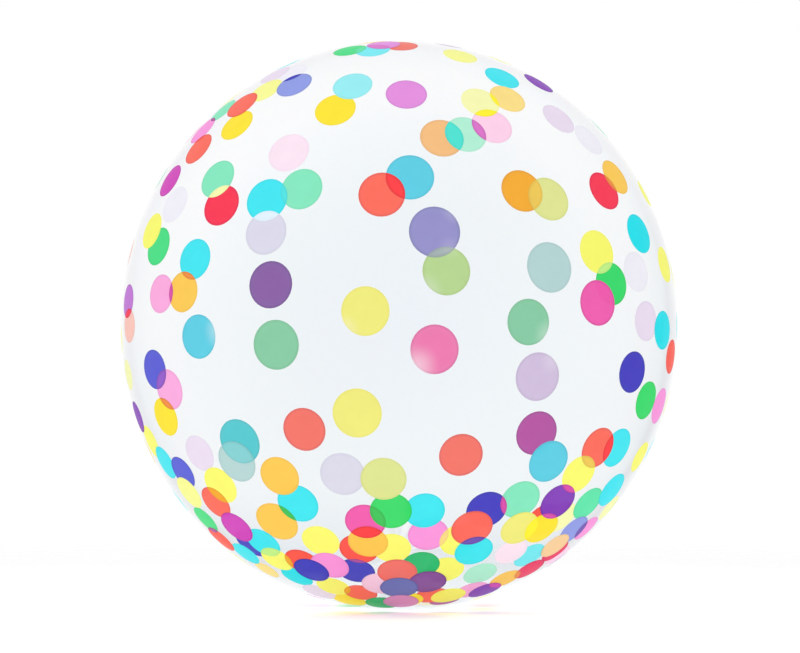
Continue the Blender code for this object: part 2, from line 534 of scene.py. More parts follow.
def twin_dots(dot_diameter, others):
    """A dot on the far wall behind each dot of the near wall, where there is room for it."""
    rows = [(ink, *row) for ink, dots in DOTS.items() for row in dots]
    found = []
    for number, (_, right, up, _, size) in enumerate(rows):
        ink = rows[(number + TWIN_INK_STEP) % len(rows)][0]
        out = math.hypot(right * MM / HALF_WIDTH, up * MM / HALF_HEIGHT)
        smaller = RIM_TWIN_SIZE if out > RIM_FROM else TWIN_SIZE
        twin = printed_dot(dot_diameter, ink, FAR, right, up, 0, size * smaller)
        crowded = any(twin.is_within(dot, TWIN_ROOM) for dot in found)
        crowded = crowded or any(twin.is_within(dot, 1.0) for dot in others)
        if twin.lies_free() and not crowded:
            found.append(twin)
    return found


def dots_on_film(dot_diameter):
    """Every dot, with the layer that keeps it clear of those it overlaps."""
    found = [printed_dot(dot_diameter, ink, NEAR, *row) for ink, rows in DOTS.items() for row in rows]
    limb = limb_dots(dot_diameter, found)
    found += limb + twin_dots(dot_diameter, limb)
    found.sort(key=lambda dot: dot.level)
    for index, dot in enumerate(found):
        below = [other.layer for other in found[:index] if dot.meets(other)]
        dot.layer = 1 + max(below) if below else 0
    return found


def overprint_between(dots, place):
    """The two topmost dots that cover a place on the near wall."""
    covering = [dot for dot in dots if dot.covers(NEAR, place)]
    if len(covering) < 2:
        raise ValueError(f"fewer than two dots meet at {tuple(place)} on the near wall")
    covering.sort(key=lambda dot: dot.layer)
    return covering[-2:]


# Node trees

# Stands in for an angle of nothing, so that nothing is divided by zero
SMALLEST_ANGLE = 1e-6


class Nodes:
    """Adds nodes to a tree, each with its settings and with what feeds its inputs."""

    def __init__(self, tree):
        self.tree = tree

    def feed(self, socket, value):
        """Links or sets one input."""
        if isinstance(value, bpy.types.NodeSocket):
            self.tree.links.new(value, socket)
        else:
            socket.default_value = value

    def feed_all(self, node, feeds):
        """Links or sets inputs by name or number."""
        for key, value in feeds.items():
            self.feed(node.inputs[key], value)

    def add(self, kind, feeds=None, **settings):
        """One node."""
        node = self.tree.nodes.new(kind)
        for key, value in settings.items():
            setattr(node, key, value)
        self.feed_all(node, feeds or {})
        return node

    def first(self, kind, feeds=None, **settings):
        """The first output of one node."""
        return self.add(kind, feeds, **settings).outputs[0]

    def maths(self, operation, *values):
        """A number from numbers."""
        return self.first("ShaderNodeMath", dict(enumerate(values)), operation=operation)

    def vector(self, operation, *values):
        """A vector from vectors."""
        return self.first("ShaderNodeVectorMath", dict(enumerate(values)), operation=operation)

    def measure(self, operation, *values):
        """A number from vectors."""
        node = self.add("ShaderNodeVectorMath", dict(enumerate(values)), operation=operation)
        return node.outputs["Value"]

    def scaled(self, vector, size):
        """A vector or a colour times a number."""
        return self.first("ShaderNodeVectorMath", {0: vector, "Scale": size}, operation="SCALE")

    def parts(self, vector):
        """A vector's X, Y and Z."""
        return self.add("ShaderNodeSeparateXYZ", {0: vector}).outputs

    def eased(self, value, start, end, low=0.0, high=1.0):
        """From one level to another while a value goes from start to end, with soft ends."""
        return self.first(
            "ShaderNodeMapRange",
            {"Value": value, "From Min": start, "From Max": end, "To Min": low, "To Max": high},
            interpolation_type="SMOOTHSTEP",
        )

    def blend(self, share, first, second):
        """A colour between two others."""
        node = self.add("ShaderNodeMix", {0: share, 6: first, 7: second}, data_type="RGBA")
        return node.outputs[2]

    def noise(self, place, scale, detail):
        """Soft noise."""
        return self.first("ShaderNodeTexNoise", {"Vector": place, "Scale": scale, "Detail": detail})

    def bump(self, height, strength, depth):
        """A surface's direction where it is a little raised."""
        feeds = {"Height": height, "Strength": strength, "Distance": depth}
        return self.first("ShaderNodeBump", feeds)

    def object_place(self):
        """Where on the object a shader is."""
        return self.add("ShaderNodeTexCoord").outputs["Object"]

    def painted(self, name):
        """A named number of the mesh, for a shader."""
        return self.add("ShaderNodeAttribute", attribute_name=name).outputs["Fac"]

    def named(self, name):
        """A named number of the points, for geometry."""
        kind = "GeometryNodeInputNamedAttribute"
        return self.add(kind, {"Name": name}, data_type="FLOAT").outputs["Attribute"]


def new_tree(name, kind, takes, gives):
    """A node group whose inputs and outputs have a name, what they carry, and maybe a default."""
    tree = bpy.data.node_groups.new(name, kind)
    for title, carries, *default in takes:
        made = tree.interface.new_socket(
            title, in_out="INPUT", socket_type=f"NodeSocket{carries}"
        )
        if default:
            made.default_value = default[0]
    for title, carries in gives:
        tree.interface.new_socket(title, in_out="OUTPUT", socket_type=f"NodeSocket{carries}")
    nodes = Nodes(tree)
    return nodes, nodes.add("NodeGroupInput").outputs, nodes.add("NodeGroupOutput").inputs


def printed_ink_tree():
    """Puts a disc at each dot's place, then wraps the flat print round its wall of the film."""
    nodes, takes, gives = new_tree(
        "Printed ink",
        "GeometryNodeTree",
        [
            ("Flat print", "Geometry"),
            ("Half size", "Vector"),
            ("Centre", "Vector"),
            ("Print gap", "Float"),
            ("Ink step", "Float"),
            ("Dot sides", "Int"),
            ("Dot rings", "Int"),
            ("Ink", "Material"),
        ],
        [("Printed film", "Geometry")],
    )
    disc = nodes.first(
        "GeometryNodeMeshCone",
        {
            "Vertices": takes["Dot sides"],
            "Side Segments": takes["Dot rings"],
            "Radius Top": 0.0,
            "Radius Bottom": 1.0,
            "Depth": 0.0,
        },
        fill_type="NONE",
    )
    flat_place = nodes.first("GeometryNodeInputPosition")
    across = nodes.measure("LENGTH", flat_place)
    disc = nodes.first(
        "GeometryNodeStoreNamedAttribute",
        {"Geometry": disc, "Name": "across", "Value": across},
        data_type="FLOAT",
        domain="POINT",
    )
    half_angle = nodes.named("half_angle")
    is_dot = nodes.maths("GREATER_THAN", half_angle, 0.0)
    discs = nodes.first(
        "GeometryNodeInstanceOnPoints",
        {"Points": takes["Flat print"], "Selection": is_dot, "Instance": disc, "Scale": half_angle},
    )
    overprints = nodes.first(
        "GeometryNodeDeleteGeometry",
        {"Geometry": takes["Flat print"], "Selection": is_dot},
        domain="POINT",
    )
    joined = nodes.add("GeometryNodeJoinGeometry")
    nodes.feed(joined.inputs[0], nodes.first("GeometryNodeRealizeInstances", {"Geometry": discs}))
    nodes.feed(joined.inputs[0], overprints)
    angle = nodes.maths("MAXIMUM", across, SMALLEST_ANGLE)
    flat = nodes.parts(flat_place)
    turn = nodes.maths("DIVIDE", nodes.maths("SINE", angle), angle)
    wall = nodes.named("wall")
    unit = nodes.first(
        "ShaderNodeCombineXYZ",
        {
            "X": nodes.maths("MULTIPLY", flat["X"], turn),
            "Y": nodes.maths("MULTIPLY", nodes.maths("COSINE", angle), wall),
            "Z": nodes.maths("MULTIPLY", flat["Y"], turn),
        },
    )
    on_film = nodes.vector("MULTIPLY_ADD", unit, takes["Half size"], takes["Centre"])
    outward = nodes.vector("NORMALIZE", nodes.vector("DIVIDE", unit, takes["Half size"]))
    lift = nodes.maths("MULTIPLY_ADD", nodes.named("layer"), takes["Ink step"], takes["Print gap"])
    free = nodes.parts(nodes.vector("ADD", on_film, nodes.scaled(outward, lift)))
    pressed = nodes.first(
        "ShaderNodeCombineXYZ",
        {"X": free["X"], "Y": free["Y"], "Z": nodes.maths("MAXIMUM", free["Z"], lift)},
    )
    wrapped = nodes.first(
        "GeometryNodeSetPosition", {"Geometry": joined.outputs[0], "Position": pressed}
    )
    is_far = nodes.maths("GREATER_THAN", wall, 0.0)
    wrapped = nodes.first("GeometryNodeFlipFaces", {"Mesh": wrapped, "Selection": is_far})
    wrapped = nodes.first("GeometryNodeSetShadeSmooth", {"Geometry": wrapped})
    wrapped = nodes.first("GeometryNodeSetMaterial", {"Geometry": wrapped, "Material": takes["Ink"]})
    nodes.feed(gives[0], wrapped)
    return nodes.tree


def add_object(name, mesh):
    """An object in the scene, with its place in its mesh."""
    made = bpy.data.objects.new(name, mesh)
    bpy.context.scene.collection.objects.link(made)
    return made


def grown(name, mesh, tree, values):
    """The plain mesh that a tree makes from a mesh, as an object."""
    made = add_object(name, mesh)
    modifier = made.modifiers.new("Maker", "NODES")
    modifier.node_group = tree
    for item in tree.interface.items_tree:
        if item.item_type == "SOCKET" and item.in_out == "INPUT" and item.name in values:
            modifier[item.identifier] = values[item.name]
    evaluated = made.evaluated_get(bpy.context.evaluated_depsgraph_get())
    result = bpy.data.meshes.new_from_object(evaluated)
    result.name = name
    made.modifiers.remove(modifier)
    made.data = result
    return made


def finish_piece(piece, slot, *replaced):
    """Says what a piece rides on and the solids it stands for; its slot is not used."""
    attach(piece, BODY)
    if replaced:
        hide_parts(*replaced)


# Finishes

# How the clear film looks over white, as a screen shows it: how far out from the middle of the round
# it is seen, then its look towards the light, lightened with painted light and sheen, and away from it,
# darkened with painted shade
FILM_LOOKS = (
    (0.00, (238, 243, 249), (238, 243, 248)),
    (0.45, (240, 245, 248), (240, 245, 248)),
    (0.65, (244, 248, 251), (241, 246, 249)),
    (0.80, (250, 251, 253), (242, 246, 249)),
    (0.90, (250, 251, 252), (241, 244, 247)),
    (0.95, (246, 248, 251), (232, 238, 241)),
    (0.97, (242, 244, 247), (212, 220, 225)),
    (0.985, (240, 240, 244), (228, 233, 236)),
    (1.0, (250, 250, 250), (252, 252, 252)),
)
LIGHT_FROM = Vector((-0.25, 0, 0.97))

# How far from the centre each look is full, as a share of the balloon's half width
LIGHT_REACH = 0.8

# How far below the middle the film starts to get a bluish painted shade, and what is left of its colours
# lowest down
LOW_FROM = 0.5
LOW_PAINTED_SHADE = (0.05, 0.3, 0.5)

# The film's faint wisps and its gloss
WISP_SCALE = 4.0
WISPS_SHOW = 0.3
FILM_SHEEN = 0.1

# The tail's streaks, how much greyer its welds are, and how much red it keeps
STREAK_SCALE = (420.0, 60.0, 60.0)
STREAKS_SHOW = 0.5
WELD_SHOWS = 0.42
TAIL_RED = 0.94
STREAK_BUMP = 0.3
STREAK_BUMP_DEPTH = 0.0005

# Painted highlight and painted shade on the pleats: how much lighter the crests are painted than the film,
# and how much darker their valleys
PLEAT_PAINTED_SHADING = 1.9

# Painted light: how brightly a dot's inner side glows of itself, standing in for the light from outside that
# comes through it
PAINTED_GLOW_THROUGH_INK = 0.4

# Where a dot's fuller edge starts, and how much darker the edge of a black ink would be
EDGE_FROM = 0.85
EDGE_SHOWS = 0.25

# How brightly the surroundings and the lamps light a matt white dot, against the white seen behind it
LIGHT_ON_INK = 1.055

# The darkest that a pigment is made
DARKEST_PIGMENT = 0.003

# The inks' mottle, the whitish colour of their painted highlights, and their grain and gloss
MOTTLE_SCALE = 55.0
PAINTED_HIGHLIGHT_COLOUR = (0.9, 0.9, 0.9, 1)
GRAIN_SCALE = 900.0
GLOSS_SPECKS = 0.25
INK_ROUGHNESS = 0.32
INK_SHEEN = 0.01
INK_BUMP = 0.06
INK_BUMP_DEPTH = 0.0003


def linear(colour):
    """A colour as light adds up, from a colour as a screen shows it."""
    return [c / 12.92 if c <= 0.04045 else ((c + 0.055) / 1.055) ** 2.4 for c in colour]


def brightness(seen):
    """How bright a colour is, from 0 for black to 1 for white."""
    red, green, blue = linear(seen)
    return 0.21 * red + 0.72 * green + 0.07 * blue


def pigment(seen, cover, light=1.0, coats=1):
    """The colour that looks a given way where each of its coats hides a share of the white behind them."""
    behind = (1 - cover) ** coats
    return [min(max((c - behind) / (1 - behind) / light, DARKEST_PIGMENT), 1) for c in linear(seen)]


def on_near_wall(right, up):
    """The place on the film's near wall that is seen at a place on the middle plane."""
    unit = wall_direction(NEAR, print_place(NEAR, right * MM, up * MM))
    return CENTRE + Vector((unit.x * HALF_WIDTH, unit.y * HALF_WIDTH, unit.z * HALF_HEIGHT))


def ink_grain_group():
    """A printed ink's unevenness, a mottle, a fuller edge and a grain in its gloss, with soft painted
    highlights that make it paler in patches.
    """
    name = "Ink grain"
    if name in bpy.data.node_groups:
        return bpy.data.node_groups[name]
    nodes, takes, gives = new_tree(
        name,
        "ShaderNodeTree",
        [
            ("Colour", "Color"),
            ("Mottle", "Float", 0.04),
            ("Edge", "Float", 0.1),
            ("Roughness", "Float", 0.3),
        ],
        [
            ("Colour", "Color"),
            ("Roughness", "Float"),
            ("Height", "Float"),
        ],
    )
    place = nodes.object_place()
    clouds = nodes.maths("MULTIPLY_ADD", nodes.noise(place, MOTTLE_SCALE, 3.0), 2.0, -1.0)
    cloudy = nodes.maths("MULTIPLY", clouds, takes["Mottle"])
    edge = nodes.eased(nodes.painted("across"), EDGE_FROM, 1.0, 0.0, takes["Edge"])
    shade = nodes.maths("SUBTRACT", nodes.maths("ADD", 1.0, cloudy), edge)
    # Painted highlights: soft whitish patches blended into the ink's colour
    painted_highlight = 0.0
    for (right, up, _, _), radius, highlight_strength in PAINTED_HIGHLIGHTS:
        away = nodes.measure("DISTANCE", place, on_near_wall(right, up))
        painted_highlight = nodes.maths("MAXIMUM", nodes.eased(away, 0.0, radius, highlight_strength, 0.0), painted_highlight)
    nodes.feed(gives["Colour"], nodes.blend(painted_highlight, nodes.scaled(takes["Colour"], shade), PAINTED_HIGHLIGHT_COLOUR))
    grain = nodes.noise(place, GRAIN_SCALE, 1.0)
    specks = nodes.maths("SUBTRACT", grain, 0.5)
    nodes.feed(gives["Roughness"], nodes.maths("MULTIPLY_ADD", specks, GLOSS_SPECKS, takes["Roughness"]))
    nodes.feed(gives["Height"], grain)
    return nodes.tree


def new_material(name):
    """A material with its Principled shader, ready for nodes."""
    made = bpy.data.materials.new(name)
    made.use_nodes = True
    shader = made.node_tree.nodes["Principled BSDF"]
    return made, Nodes(made.node_tree), shader


def ink_material(name, seen, cover, coats):
    """A printing ink that looks a given colour over the white-lit film, or over the inks under it."""
    made, nodes, shader = new_material(name)
    grain = nodes.add(
        "ShaderNodeGroup",
        {
            "Colour": (*pigment(seen, cover, LIGHT_ON_INK, coats), 1),
            "Edge": EDGE_SHOWS * (1 - brightness(seen)),
            "Roughness": INK_ROUGHNESS,
        },
        node_tree=ink_grain_group(),
    ).outputs
    # Painted light: the dot's inner side glows, for the light that comes through the ink
    inside = nodes.add("ShaderNodeNewGeometry").outputs["Backfacing"]
    nodes.feed_all(
        shader,
        {
            "Base Color": grain["Colour"],
            "Roughness": grain["Roughness"],
            "Normal": nodes.bump(grain["Height"], INK_BUMP, INK_BUMP_DEPTH),
            "Emission Color": nodes.scaled(grain["Colour"], inside),
            "Emission Strength": PAINTED_GLOW_THROUGH_INK,
            "Alpha": cover,
            "Specular IOR Level": INK_SHEEN,
        },
    )
    return made


def film_look(nodes, facing, cover, side):
    """The film's colour by how far from square on it is seen, with painted light towards the light (side 0)
    or painted shade away from it (side 1).
    """
    ramp = nodes.add("ShaderNodeValToRGB", {"Fac": facing})
    stops = ramp.color_ramp.elements
    stops.remove(stops[1])
    for number, (out, *looks) in enumerate(FILM_LOOKS):
        stop = stops.new(1 - math.sqrt(1 - out**2)) if number else stops[0]
        seen = [c / 255 for c in looks[side]]
        stop.color = (*pigment(seen, cover, coats=2), 1)
    return ramp.outputs[0]


def film_material(name, roughness, cover):
    """Clear stretched film: faintly blue where it is seen square on, and greyer where it is seen edge on,
    with painted light on its side towards the light, painted shade away from it and low down, and painted
    highlights and shade on the pleats.
    """
    made, nodes, shader = new_material(name)
    place = nodes.object_place()
    facing = nodes.add("ShaderNodeLayerWeight", {"Blend": 0.5}).outputs["Facing"]
    # Painted light on the film's side towards LIGHT_FROM and painted shade on the side away from it
    out = nodes.vector("SUBTRACT", place, CENTRE)
    towards = nodes.measure("DOT_PRODUCT", out, LIGHT_FROM.normalized() / HALF_WIDTH)
    away, light = (film_look(nodes, facing, cover, side) for side in (1, 0))
    look = nodes.blend(nodes.eased(towards, -LIGHT_REACH, LIGHT_REACH), away, light)
    # Painted bluish shade towards the bottom of the film
    low = nodes.eased(nodes.parts(out)["Z"], -LOW_FROM * HALF_HEIGHT, -HALF_HEIGHT)
    look = nodes.blend(low, look, nodes.vector("MULTIPLY", look, LOW_PAINTED_SHADE))
    # Painted highlights on the pleats' crests and painted shade in their valleys
    crease = nodes.painted("crease")
    for shows, shade in ((PLEAT_PAINTED_SHADING, 1), (-PLEAT_PAINTED_SHADING, 0)):
        creased = nodes.first("ShaderNodeClamp", {0: nodes.maths("MULTIPLY", crease, shows)})
        look = nodes.blend(creased, look, (shade, shade, shade, 1))
    wisps = nodes.noise(place, WISP_SCALE, 4.0)
    wispy = nodes.maths("MULTIPLY_ADD", wisps, WISPS_SHOW, 1 - WISPS_SHOW / 2)
    nodes.feed_all(
        shader,
        {
            "Base Color": nodes.scaled(look, wispy),
            "Roughness": roughness,
            "Alpha": cover,
            "Specular IOR Level": FILM_SHEEN,
        },
    )
    return made


def tail_material(name, roughness, cover):
    """Two flat layers of film: greyer along the welds, with fine drawn streaks."""
    made, nodes, shader = new_material(name)
    streaks = nodes.noise(nodes.vector("MULTIPLY", nodes.object_place(), STREAK_SCALE), 1.0, 2.0)
    streaky = nodes.maths("MULTIPLY_ADD", streaks, STREAKS_SHOW, 1 - STREAKS_SHOW)
    milky = nodes.maths("MULTIPLY_ADD", nodes.painted("weld"), -WELD_SHOWS, streaky)
    red = nodes.maths("MULTIPLY", milky, TAIL_RED)
    bump = nodes.bump(streaks, STREAK_BUMP, STREAK_BUMP_DEPTH)
    nodes.feed_all(
        shader,
        {
            "Base Color": nodes.first("ShaderNodeCombineColor", {0: red, 1: milky, 2: milky}),
            "Normal": bump,
            "Roughness": roughness,
            "Alpha": cover,
        },
    )
    return made


# The film


def smooth(share):
    """0 at 0 and 1 at 1, with level ends."""
    share = min(max(share, 0), 1)
    return share * share * (3 - 2 * share)


def reach(direction):
    """How far the round body's surface is from its centre in a direction."""
    across = (direction.x**2 + direction.y**2) / HALF_WIDTH**2
    return 1 / math.sqrt(across + direction.z**2 / HALF_HEIGHT**2)


NECK_REACH = reach(NECK_AXIS)
GATHER_ANGLE = math.asin(GATHER_RADIUS / NECK_REACH)
NECK_START = NECK_REACH + NECK_RISE
NECK_END = NECK_START + NECK_LENGTH
RING_STEP = math.radians(2.0)
FUNNEL_RINGS = 28
SEGMENTS_PER_PLEAT = 12
PLEAT_CREST_RADIUS = 0.021
PLEAT_FADE_RADIUS = 0.077
NECK_FLUTE_DEPTH = 0.0015
NECK_LIP = 0.0012
LIP_CORNER = 0.3
SHARP_FROM = math.radians(50)
CUT_TOLERANCE = 1e-6

# Waves round the neck: how strong, how many, and where they start
SLOW_UNEVENNESS = (0.35, 5, 1.1)
QUICK_UNEVENNESS = (0.2, 11, 2.3)
BROAD_WANDER = (0.9, 2, 0)
FINE_WANDER = (0.5, 4, 0)
FINE_START = 0.8

# What the broad pleats and the fine ones make up of the whole
BROAD_SHARE = 0.65
FINE_SHARE = 0.5


def bezier(points, share):
    """A point of a cubic curve."""
    a, b, c, d = points
    rest = 1 - share
    return a * rest**3 + 3 * b * rest**2 * share + 3 * c * rest * share**2 + d * share**3


def wave_round(turn, strength, waves, start):
    """A wave round the neck."""
    return strength * math.sin(waves * turn + start)


def pleat(turn, out, count, depth):
    """How far a pleat stands out of the funnel, and its crease, at a distance from the neck's axis."""
    rise = smooth((out - NECK_RADIUS) / (PLEAT_CREST_RADIUS - NECK_RADIUS))
    fall = 1 - smooth((out - PLEAT_CREST_RADIUS) / (PLEAT_FADE_RADIUS - PLEAT_CREST_RADIUS))
    size = (NECK_FLUTE_DEPTH + (depth - NECK_FLUTE_DEPTH) * rise) * fall
    uneven = 1 + wave_round(turn, *SLOW_UNEVENNESS) + wave_round(turn, *QUICK_UNEVENNESS)
    uneven /= 1 + SLOW_UNEVENNESS[0] + QUICK_UNEVENNESS[0]
    broad = math.cos(count // 2 * turn + wave_round(turn, *BROAD_WANDER))
    fine = math.cos(count * turn + wave_round(turn, *FINE_WANDER) + FINE_START) * fall
    wave = uneven * (BROAD_SHARE * broad + FINE_SHARE * fine)
    return size * wave, fall * wave


def meridian(turn, pleats, depth):
    """The film's line from the far pole's last ring to the neck's end, as (place from the centre, crease)."""
    spoke = NECK_SIDE * math.cos(turn) + NECK_UP * math.sin(turn)
    rings = round((math.pi - GATHER_ANGLE) / RING_STEP)
    line = []
    for ring in range(1, rings + 1):
        angle = math.pi - (math.pi - GATHER_ANGLE) * ring / rings
        size = reach(NECK_AXIS * math.cos(angle) + spoke * math.sin(angle))
        line.append((size * math.sin(angle), size * math.cos(angle)))
    gather = Vector(line[-1])
    pull = FUNNEL_PULL * (gather.x - NECK_RADIUS)
    curve = [
        gather,
        gather + pull * Vector((-math.cos(GATHER_ANGLE), math.sin(GATHER_ANGLE))),
        Vector((NECK_RADIUS, NECK_START - THROAT_LENGTH)),
        Vector((NECK_RADIUS, NECK_START)),
    ]
    for step in range(1, FUNNEL_RINGS + 1):
        line.append(tuple(bezier(curve, step / FUNNEL_RINGS)))
    line.append((NECK_RADIUS, (NECK_START + NECK_END) / 2))
    line.append((NECK_RADIUS, NECK_END - NECK_LIP))
    line.append((NECK_RADIUS - LIP_CORNER * NECK_LIP, NECK_END - LIP_CORNER * NECK_LIP))
    line.append((NECK_RADIUS - NECK_LIP, NECK_END))
    found = []
    for out, along in line:
        stands, crease = pleat(turn, out, pleats, depth) if along > 0 else (0, 0)
        found.append((spoke * (out + stands) + NECK_AXIS * along, crease))
    return found


def film_mesh(pleats, depth):
    """The blown film with its gathered neck, closed, and pressed flat where it rests."""
    bm = bmesh.new()
    creased = bm.verts.layers.float.new("crease")
    segments = SEGMENTS_PER_PLEAT * pleats
    columns = []
    for segment in range(segments):
        column = []
        for place, crease in meridian(math.tau * segment / segments, pleats, depth):
            made = bm.verts.new(CENTRE + place)
            made[creased] = crease
            column.append(made)
        columns.append(column)
    far_pole = bm.verts.new(CENTRE - NECK_AXIS * NECK_REACH)
    for segment, column in enumerate(columns):
        beside = columns[(segment + 1) % segments]
        bm.faces.new((far_pole, column[0], beside[0]))
        for ring in range(len(column) - 1):
            bm.faces.new((column[ring], column[ring + 1], beside[ring + 1], beside[ring]))
    bm.faces.new([column[-1] for column in columns])
    bmesh.ops.bisect_plane(
        bm,
        geom=[*bm.verts, *bm.edges, *bm.faces],
        dist=CUT_TOLERANCE,
        plane_co=(0, 0, 0),
        plane_no=(0, 0, -1),
        clear_outer=True,
    )
    bmesh.ops.contextual_create(bm, geom=[edge for edge in bm.edges if edge.is_boundary])
    return mesh_from(bm, "film")


def plain_mesh(bm, name):
    """A mesh as it was built."""
    mesh = bpy.data.meshes.new(name)
    bm.to_mesh(mesh)
    bm.free()
    return mesh


def mesh_from(bm, name):
    """A smooth mesh with its faces turned outwards."""
    bmesh.ops.recalc_face_normals(bm, faces=bm.faces)
    mesh = plain_mesh(bm, name)
    mesh.shade_smooth()
    mesh.set_sharp_from_angle(angle=SHARP_FROM)
    return mesh


class BALLOON_OT_film(Operator):
    """Makes the blown film with its gathered neck"""

    bl_idname = "balloon.film"
    bl_label = "Film"

    def execute(self, context):
        sizes = context.scene.balloon_film
        film = add_object("film", film_mesh(sizes.pleats, sizes.pleat_depth))
        film.data.materials.append(
            film_material("Clear film", sizes.film_roughness, sizes.film_cover)
        )
        finish_piece(film, FILM_SLOT, "envelope")
        return {"FINISHED"}


# The filling tail

FIT_GAP = 0.0003
TAIL_ROOT_INSET = 0.0010
TAIL_ROOT_THICKNESS = 0.0125
TAIL_STEP = 0.0011
TAIL_POINTS = 44
WELD_WIDTH = 0.0035
WELD_THICKNESS = 0.0004
CHANNEL_HALF_WIDTH = 0.0085
TAIL_ROUGHNESS = 0.3
WELD_ROUGHNESS = 0.4

# The share of a weld's width that is pressed fully flat, and how far in its outer edge is rounded
FULL_WELD = 0.6
RIM_ROUNDING = 0.0004

# The seams beside the filling channel
SEAM_WIDTH = 0.0011
SEAM_DEPTH = 0.55

# The folds at the tail's root and the ripples further down
FOLD_DEPTH = 0.0011
FOLD_TURNS = 15
FOLD_START = 0.6
RIPPLE_DEPTH = 0.0004
RIPPLES_ALONG = 480
RIPPLES_ACROSS = 260
RIPPLE_DRIFT = 2

# A rib's size: shares of the weld's width and of the rib spacing, and how far it stands out in all
RIB_WIDTH = 0.7
RIB_LENGTH = 0.4
RIB_HEIGHT = 0.0004


def tail_path():
    """Stations down the tail's middle, as (place, direction, way gone): straight, a bend, then flat."""
    neck_end = CENTRE + NECK_AXIS * (NECK_END + FIT_GAP)
    drop = neck_end.z - TAIL_FLOOR_CLEARANCE - TAIL_THICKNESS / 2
    bend = math.pi / 2 - NECK_TILT
    drop_per_radius = 1 - math.cos(bend)
    bend_radius = min(TAIL_BEND_RADIUS, BEND_SHARE * drop / drop_per_radius)
    straight = (drop - bend_radius * drop_per_radius) / math.cos(NECK_TILT)
    bend_start = neck_end + NECK_AXIS * straight
    bend_centre = bend_start + NECK_UP * bend_radius
    whole = straight + bend * bend_radius + TAIL_FLAT_LENGTH
    stations = []
    steps = round(whole / TAIL_STEP)
    for step in range(steps + 1):
        gone = whole * step / steps
        turn = min(max((gone - straight) / bend_radius, 0), bend)
        turned = Matrix.Rotation(turn, 3, "X")
        direction = turned @ NECK_AXIS
        before = min(gone, straight)
        after = max(gone - straight - bend * bend_radius, 0)
        arc = turned @ (-NECK_UP * bend_radius) + NECK_UP * bend_radius
        stations.append((neck_end + NECK_AXIS * before + arc + direction * after, direction, gone))
    return stations


def tail_half_width(gone):
    """Half the tail's width at a distance down it."""
    root = NECK_RADIUS - TAIL_ROOT_INSET
    return root + (TAIL_WIDTH / 2 - root) * smooth(gone / TAIL_FLARE_LENGTH)


def tail_shape(across, gone):
    """The tail's half thickness, how far it waves and how welded it is, at a place across and down it."""
    half_width = tail_half_width(gone)
    flare = smooth(gone / TAIL_FLARE_LENGTH)
    inside = max(half_width - abs(across), 0)
    welded = 1 - smooth((inside - WELD_WIDTH * FULL_WELD) / (WELD_WIDTH * (1 - FULL_WELD)))
    seam = math.exp(-(((abs(across) - CHANNEL_HALF_WIDTH) / SEAM_WIDTH) ** 2)) * flare
    puff = TAIL_THICKNESS / 2 * (1 - SEAM_DEPTH * seam)
    flat = WELD_THICKNESS / 2 + (puff - WELD_THICKNESS / 2) * (1 - welded)
    bunch = TAIL_ROOT_THICKNESS / 2 * math.sqrt(max(1 - (across / half_width) ** 2, 0))
    rim = WELD_THICKNESS / 2 * min(inside / RIM_ROUNDING, 1)
    thickness = max(bunch + (flat - bunch) * flare, rim)
    folds = FOLD_DEPTH * math.cos(across / half_width * FOLD_TURNS + FOLD_START) * (1 - flare)
    drift = RIPPLE_DRIFT * math.sin(across * RIPPLES_ACROSS)
    ripples = RIPPLE_DEPTH * math.sin(gone * RIPPLES_ALONG + drift) * flare * (1 - seam)
    return thickness, folds + ripples, max(welded * flare, seam)


def tail_mesh():
    """The flat filling tail: two film layers welded along both sides and round the filling channel."""
    bm = bmesh.new()
    weld = bm.verts.layers.float.new("weld")
    rings = []
    for place, direction, gone in tail_path():
        above = NECK_SIDE.cross(direction)
        half_width = tail_half_width(gone)
        ring = []
        for side in (1, -1):
            for step in range(TAIL_POINTS):
                across = -side * half_width * math.cos(math.pi * step / TAIL_POINTS)
                thickness, wave, welded = tail_shape(across, gone)
                made = bm.verts.new(place + NECK_SIDE * across + above * (side * thickness + wave))
                made[weld] = welded
                ring.append(made)
        rings.append(ring)
    for ring, following in zip(rings, rings[1:]):
        for point, made in enumerate(ring):
            beside = (point + 1) % len(ring)
            bm.faces.new((made, ring[beside], following[beside], following[point]))
    bm.faces.new(rings[0])
    bm.faces.new(rings[-1])
    return mesh_from(bm, "tail")


def weld_guides():
    """A line down the middle of the weld along each side of the tail, once it has its full width."""
    bm = bmesh.new()
    for side in (-1, 1):
        line = []
        for place, _, gone in tail_path():
            if gone > TAIL_FLARE_LENGTH:
                line.append(bm.verts.new(place + NECK_SIDE * side * (TAIL_WIDTH - WELD_WIDTH) / 2))
        for first, second in zip(line, line[1:]):
            bm.edges.new((first, second))
    return plain_mesh(bm, "tail_weld_ribs")


def weld_rib_tree():
    """Sets small ribs across a line, a fixed distance apart."""
    nodes, takes, gives = new_tree(
        "Weld ribs",
        "GeometryNodeTree",
        [
            ("Guides", "Geometry"),
            ("Rib spacing", "Float"),
            ("Rib size", "Vector"),
            ("Film", "Material"),
        ],
        [("Ribs", "Geometry")],
    )
    lines = nodes.first("GeometryNodeMeshToCurve", {0: takes["Guides"]})
    spaced = nodes.first(
        "GeometryNodeResampleCurve", {"Curve": lines, "Length": takes["Rib spacing"]}, mode="LENGTH"
    )
    tangent = nodes.first("GeometryNodeInputTangent")
    turn = nodes.first(
        "FunctionNodeAlignRotationToVector", {"Vector": tangent}, axis="Y", pivot_axis="X"
    )
    rib = nodes.first("GeometryNodeMeshCube", {"Size": takes["Rib size"]})
    ribs = nodes.first(
        "GeometryNodeInstanceOnPoints", {"Points": spaced, "Instance": rib, "Rotation": turn}
    )
    ribs = nodes.first("GeometryNodeRealizeInstances", {"Geometry": ribs})
    ribs = nodes.first("GeometryNodeSetMaterial", {"Geometry": ribs, "Material": takes["Film"]})
    nodes.feed(gives[0], ribs)
    return nodes.tree


